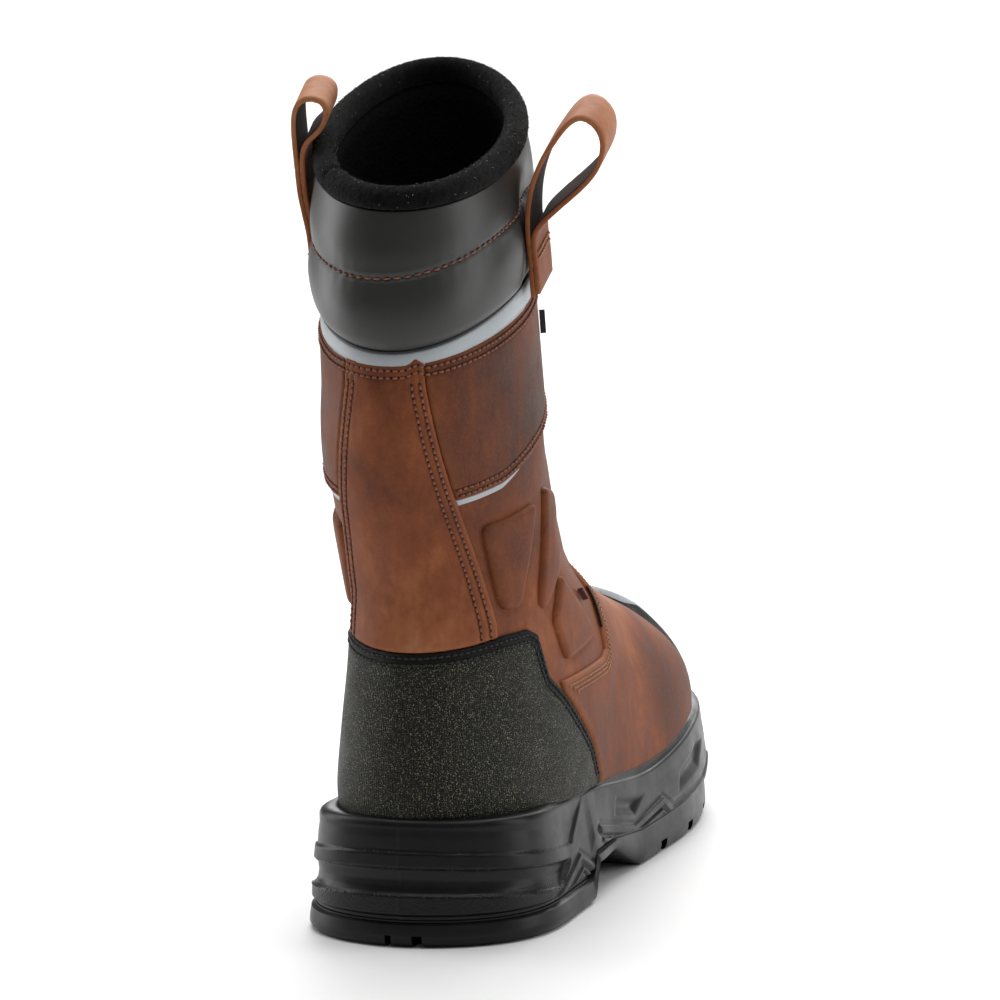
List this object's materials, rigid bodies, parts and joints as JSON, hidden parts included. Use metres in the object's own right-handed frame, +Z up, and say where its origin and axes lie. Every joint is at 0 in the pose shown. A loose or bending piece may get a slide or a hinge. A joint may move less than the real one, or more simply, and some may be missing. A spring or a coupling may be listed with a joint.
{
  "type": "rigger boot",
  "caption": "Pull-on leather rigger boot for the right foot with padded cuff, pull loops, woven heel counter, toe cap and lugged cup sole.",
  "frame": {"origin": "centre of the boot's box on the floor", "axes": "+X from heel to toe, +Y to the wearer's left, +Z up"},
  "size_m": [0.3146, 0.1284, 0.3229],
  "materials": {
    "rubber": "satin moulded rubber",
    "footbed": "matt felt",
    "leather": "oiled pull-up leather",
    "toe_black": "grained scuff cap",
    "reflective": "retroreflective tape",
    "woven": "coarse woven, coated",
    "cuff_satin": "smooth padded, satin",
    "fuzz": "brushed fleece"
  },
  "bodies": {
    "root": {"outsole": "rubber", "midsole": "rubber", "insole": "footbed", "upper": "leather", "vamp": "leather", "toe_cap": "toe_black", "toe_stripe": "reflective", "heel_counter": "woven", "back_stay": "leather", "shaft_panel": "leather", "edge_strip_right": "reflective", "edge_strip_left": "reflective", "ankle_pad_rear_right": "leather", "ankle_pad_mid_right": "leather", "ankle_pad_front_right": "leather", "ankle_pad_rear_left": "leather", "ankle_pad_mid_left": "leather", "ankle_pad_front_left": "leather", "reflective_band": "reflective", "cuff": "cuff_satin", "collar_binding": "fuzz", "pull_loop_right": "leather", "pull_loop_left": "leather", "side_tab": "woven", "instep_tab": "woven"}
  },
  "joints": []
}
